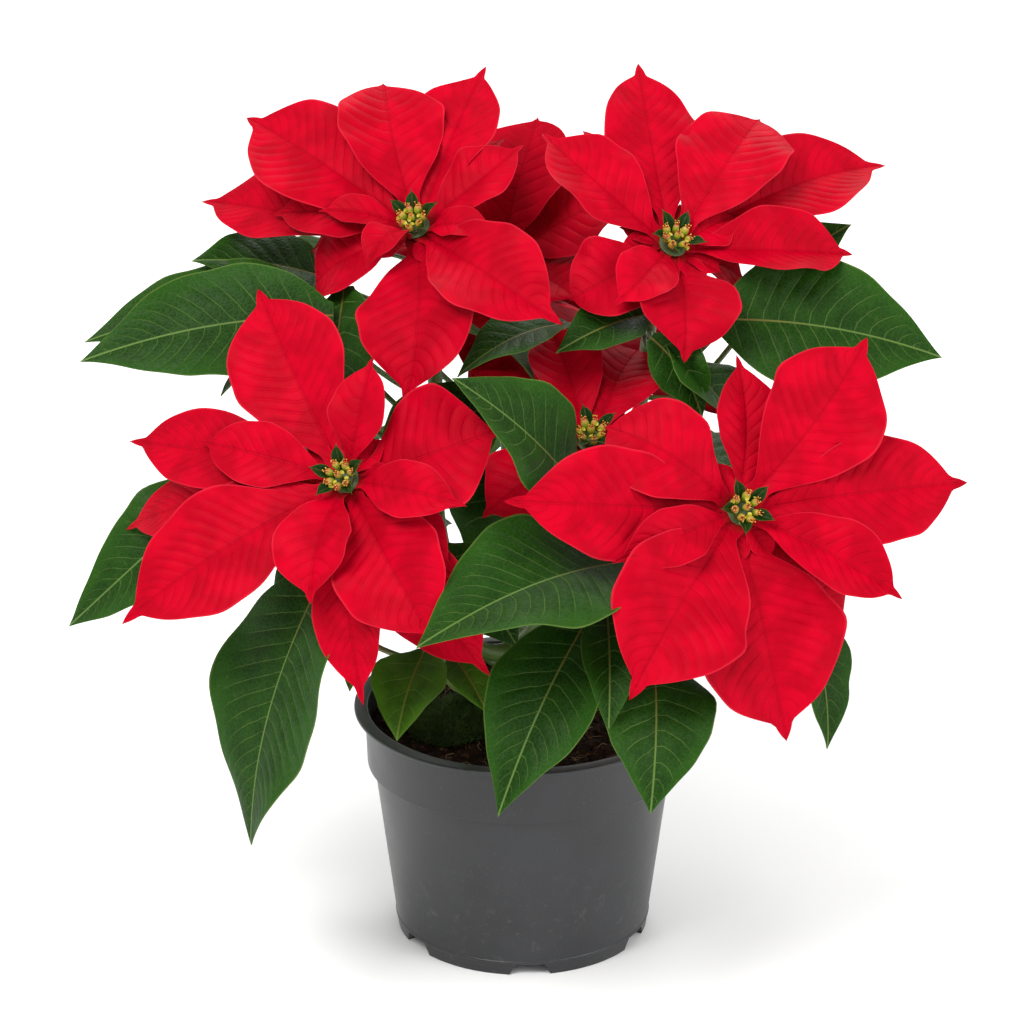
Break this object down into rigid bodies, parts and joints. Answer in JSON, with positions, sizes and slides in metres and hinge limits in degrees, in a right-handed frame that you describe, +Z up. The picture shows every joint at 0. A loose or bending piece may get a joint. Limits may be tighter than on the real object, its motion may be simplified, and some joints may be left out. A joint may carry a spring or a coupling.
{
  "type": "potted poinsettia",
  "caption": "Potted poinsettia: branching leafy stems carry broad red bract stars with yellow-green cyathia over dark leaves, in a thin tapered plastic nursery pot of soil.",
  "frame": {"origin": "centre of the bounding box in plan, on the plane that the pot's foot stands on", "axes": "+Z up along the pot's axis, -Y towards the side that the blooms face, +X to the right seen from that side"},
  "size_m": [0.3336, 0.2886, 0.3283],
  "materials": {
    "pot": "matte anthracite",
    "soil": "loose granular peat",
    "moss": "soft tufted",
    "woody_stem": "rough bark",
    "leaf": "satin leaf",
    "bract": "velvety petal",
    "cyathia": "waxy bud"
  },
  "bodies": {
    "root": {"bracts_back": "bract", "bracts_lower_left": "bract", "bracts_lower_right": "bract", "bracts_middle": "bract", "bracts_rear": "bract", "bracts_upper_left": "bract", "bracts_upper_right": "bract", "cyathia_back": "cyathia", "cyathia_lower_left": "cyathia", "cyathia_lower_right": "cyathia", "cyathia_middle": "cyathia", "cyathia_rear": "cyathia", "cyathia_upper_left": "cyathia", "cyathia_upper_right": "cyathia", "leafy_stem_back": "leaf", "leafy_stem_low_back_shoot": "leaf", "leafy_stem_low_shoot": "leaf", "leafy_stem_lower_left": "leaf", "leafy_stem_lower_right": "leaf", "leafy_stem_middle": "leaf", "leafy_stem_rear": "leaf", "leafy_stem_upper_left": "leaf", "leafy_stem_upper_right": "leaf", "main_stem": "woody_stem", "moss_cushion": "moss", "nursery_pot": "pot", "potting_soil": "soil"}
  },
  "joints": []
}
